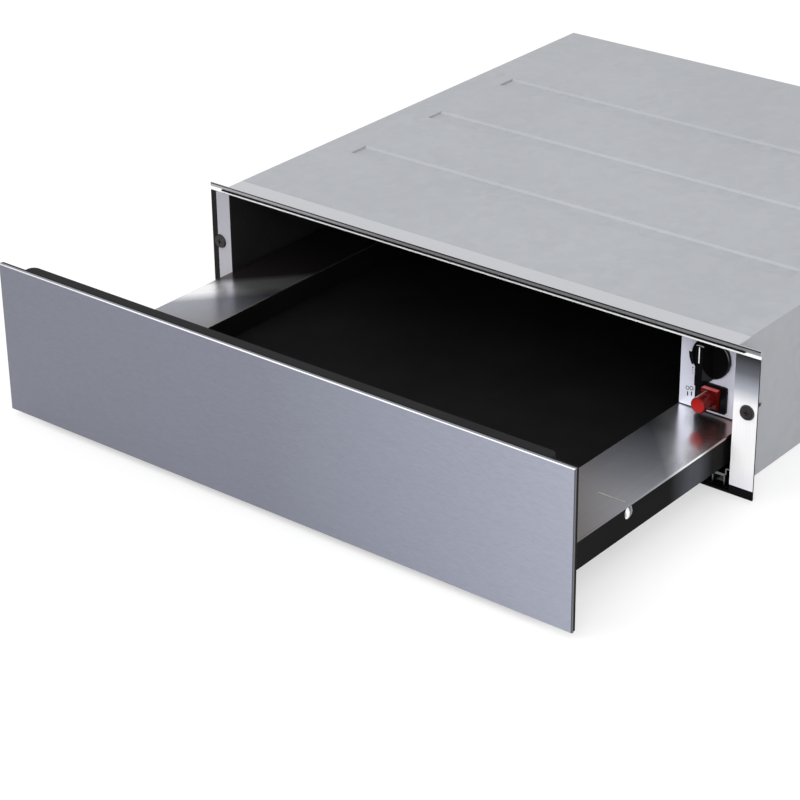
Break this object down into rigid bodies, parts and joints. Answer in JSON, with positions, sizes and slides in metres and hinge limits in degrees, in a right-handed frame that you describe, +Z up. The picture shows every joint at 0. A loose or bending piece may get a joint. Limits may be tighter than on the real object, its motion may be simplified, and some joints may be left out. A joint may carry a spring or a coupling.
{
  "type": "warming drawer",
  "caption": "Built-in plate-warming drawer: steel housing with screw flanges, a sliding drawer on three-part runners, rear warm-air unit, turning thermostat knob and push switch.",
  "frame": {"origin": "middle of the width, on the cabinet's front plane (the back of the screw flanges), on the niche floor", "axes": "+X right seen from the front, +Y into the cabinet, +Z up; the drawer opens towards -Y"},
  "size_m": [0.595, 0.8135, 0.143],
  "materials": {
    "brushed_front": "fine horizontal brushed grain",
    "polished_steel": "bright polished sheet",
    "ledge_steel": "brushed along the drawer",
    "panel_steel": "satin, pale",
    "black_paint": "satin black",
    "black_plastic": "satin black moulding",
    "galvanised": "zinc coated sheet",
    "runner_steel": "zinc coated, rolled",
    "mat_rubber": "matt, fine texture",
    "seal_rubber": "smooth",
    "knob_black": "gloss black moulding",
    "pointer_white": "white inlay",
    "red_lens": "clear red moulding",
    "red_button": "red moulding",
    "chrome": "bright domed head",
    "dark_screw": "black zinc",
    "zinc_screw": "bright zinc",
    "filler_board": "damping board",
    "terminal_plastic": "ivory moulding",
    "motor_steel": "zinc coated can",
    "fan_alloy": "pressed wheel",
    "heater_rod": "heat-darkened steel rod"
  },
  "bodies": {
    "housing": {"housing_base": "galvanised", "front_sill": "black_paint", "front_top_bar": "polished_steel", "door_seal": "seal_rubber", "top_trim": "galvanised", "top_cover": "galvanised", "rear_panel": "galvanised", "cover_screws": "zinc_screw", "flange_screws": "dark_screw", "screw_cups": "dark_screw", "control_panel": "panel_steel", "control_box": "galvanised", "thermostat_body": "black_plastic", "thermostat_nut": "zinc_screw", "switch_bezel": "knob_black", "switch_lens": "red_lens", "switch_body": "black_plastic", "rear_grille": "galvanised", "fan_motor": "motor_steel", "ring_heater": "heater_rod", "terminal_block": "terminal_plastic", "cable_gland": "black_plastic", "latch_body": "black_plastic", "outer_rail_left": "runner_steel", "rail_brace_left": "runner_steel", "side_wall_left": "polished_steel", "frame_flange_left": "polished_steel", "outer_rail_right": "runner_steel", "rail_brace_right": "runner_steel", "side_wall_right": "polished_steel", "frame_flange_right": "polished_steel"},
    "drawer": {"front_panel": "brushed_front", "front_filler": "filler_board", "front_backing": "black_paint", "inner_front": "black_paint", "drawer_tray": "black_paint", "floor_mat": "mat_rubber", "drawer_rear_wall": "black_paint", "side_studs": "chrome", "front_screws": "zinc_screw", "latch_striker": "galvanised", "ledge_right": "ledge_steel", "ledge_left": "ledge_steel", "drawer_side_right": "black_paint", "drawer_side_left": "black_paint", "front_bracket_right": "galvanised", "front_bracket_left": "galvanised", "inner_rail_right": "runner_steel", "inner_rail_left": "runner_steel"},
    "middle_rails": {"middle_rail_right": "runner_steel", "middle_rail_left": "runner_steel"},
    "knob": {"thermostat_knob": "knob_black", "knob_pointer": "pointer_white", "thermostat_shaft": "zinc_screw"},
    "button": {"power_button": "red_button"},
    "plunger": {"latch_plunger": "black_plastic"},
    "fan": {"fan_impeller": "fan_alloy", "fan_shaft": "zinc_screw"}
  },
  "joints": [
    {"name": "drawer_slide", "type": "slide", "parent": "housing", "child": "drawer", "axis": [0, -1, 0], "range_m": [-0.24, 0.16]},
    {"name": "runner_slide", "type": "slide", "parent": "housing", "child": "middle_rails", "axis": [0, -1, 0], "range_m": [-0.12, 0.08]},
    {"name": "thermostat_turn", "type": "hinge", "parent": "housing", "child": "knob", "pos_m": [0.2353, 0.015, 0.1034], "axis": [0, 1, 0], "range_deg": [0, 270]},
    {"name": "button_press", "type": "slide", "parent": "housing", "child": "button", "axis": [0, 1, 0], "range_m": [0, 0.003], "stiffness_N_per_m": 400},
    {"name": "latch_press", "type": "slide", "parent": "housing", "child": "plunger", "axis": [0, 1, 0], "range_m": [0, 0.004], "stiffness_N_per_m": 500},
    {"name": "fan_spin", "type": "hinge", "parent": "housing", "child": "fan", "pos_m": [0, 0.51, 0.06725], "axis": [0, 1, 0], "continuous": true}
  ],
  "couplings": [
    {"joint": "runner_slide", "follows": "drawer_slide", "ratio": 0.5}
  ]
}
